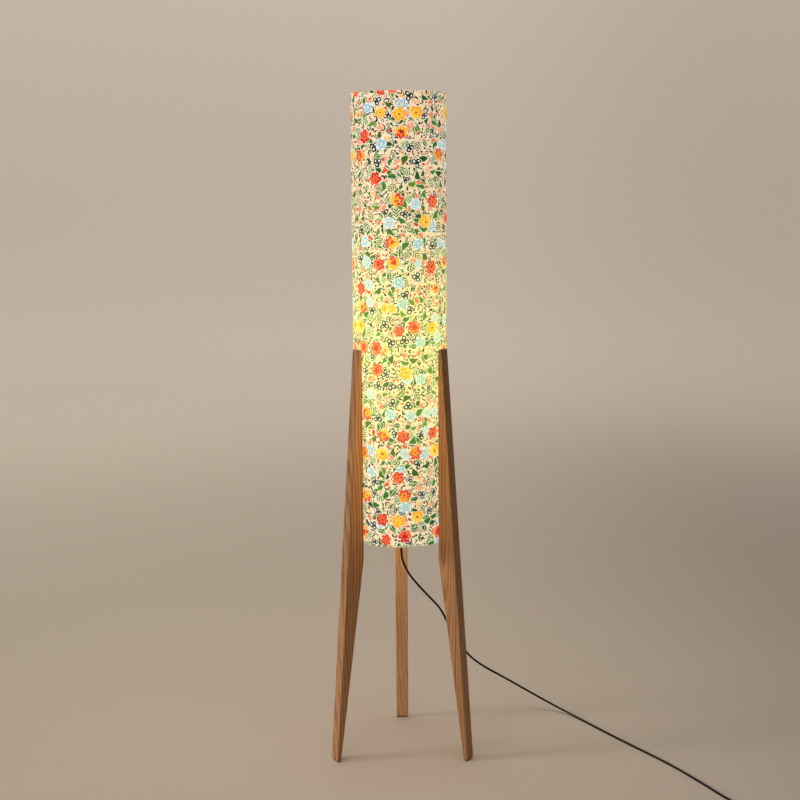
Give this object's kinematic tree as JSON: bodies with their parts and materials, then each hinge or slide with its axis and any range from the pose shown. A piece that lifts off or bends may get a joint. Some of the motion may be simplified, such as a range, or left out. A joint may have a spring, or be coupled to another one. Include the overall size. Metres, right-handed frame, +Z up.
{
  "type": "floor lamp",
  "caption": "Tall round drum lampshade in flower-printed fabric, lit from inside and held between tapered wooden legs that stand as a tripod, with a black lead and foot switch.",
  "frame": {"origin": "on the shade's axis, at the floor that the three foot pads stand on", "axes": "+Z up along the shade's axis, +Y towards the rear leg, +X to the right seen from the front"},
  "size_m": [0.9615, 0.7768, 1.5],
  "materials": {
    "leg_wood": "oiled ash with straight grain and softly rounded edges",
    "felt": "dense pressed felt",
    "printed_fabric": "fine cotton with a small allover flower print",
    "liner": "translucent lampshade sheet",
    "white_steel": "powder coat",
    "zinc_steel": "zinc plated",
    "brass": "turned and pressed brass",
    "holder_black": "moulded heat-proof resin",
    "white_plastic": "moulded insulator",
    "opal_glass": "frosted",
    "clear_glass": "clear",
    "filament": "phosphor coated rods",
    "cap_metal": "rolled screw cap",
    "black_gloss": "moulded case",
    "black_cord": "soft round sheath",
    "black_rubber": "soft moulding",
    "spring_steel": "bright wire",
    "core_sheath": "thin insulation"
  },
  "bodies": {
    "lamp": {"leg_rear": "leg_wood", "leg_front_left": "leg_wood", "leg_front_right": "leg_wood", "foot_pad_rear": "felt", "foot_pad_front_left": "felt", "foot_pad_front_right": "felt", "leg_inserts": "brass", "leg_washers": "zinc_steel", "leg_screws": "zinc_steel", "shade_cover": "printed_fabric", "shade_liner": "liner", "shade_bottom_ring": "white_steel", "shade_top_ring": "white_steel", "upper_spider": "white_steel", "lower_spider": "white_steel", "stem_tube": "zinc_steel", "stem_washers": "zinc_steel", "stem_nuts": "zinc_steel", "cord_grip": "holder_black", "cord_grip_screw": "zinc_steel", "strain_relief": "black_rubber", "lead_in_stem": "black_cord", "lead_cores": "core_sheath", "holder_cap": "holder_black", "holder_cap_screw": "zinc_steel", "holder_skirt": "holder_black", "holder_insulator": "white_plastic", "holder_screw_shell": "brass", "holder_centre_contact": "brass", "holder_terminals": "brass", "bulb_glass": "opal_glass", "bulb_collar": "white_plastic", "bulb_cap": "cap_metal", "bulb_insulator": "holder_black", "bulb_tip": "zinc_steel", "bulb_mount": "clear_glass", "bulb_filaments": "filament", "switch_base": "black_gloss", "switch_cover": "black_gloss", "switch_spring": "spring_steel", "switch_contact_bars": "brass", "switch_terminals": "brass", "switch_screws": "zinc_steel", "switch_feet": "black_rubber", "switch_sleeves": "black_rubber", "switch_cord_ends": "black_cord", "cord_to_switch": "black_cord", "cord_to_coil": "black_cord", "cord_to_plug": "black_cord", "cord_coil": "black_cord", "cord_tie": "black_rubber", "plug_body": "black_gloss", "plug_sleeve": "black_rubber", "plug_blades": "brass"},
    "switch_push": {"switch_button": "black_gloss", "switch_contact_ring": "brass"}
  },
  "joints": [
    {"name": "switch_press", "type": "slide", "parent": "lamp", "child": "switch_push", "axis": [0, 0, -1], "range_m": [0, 0.0035], "stiffness_N_per_m": 600, "springref_m": -0.004, "deforming": ["switch_spring"]}
  ]
}
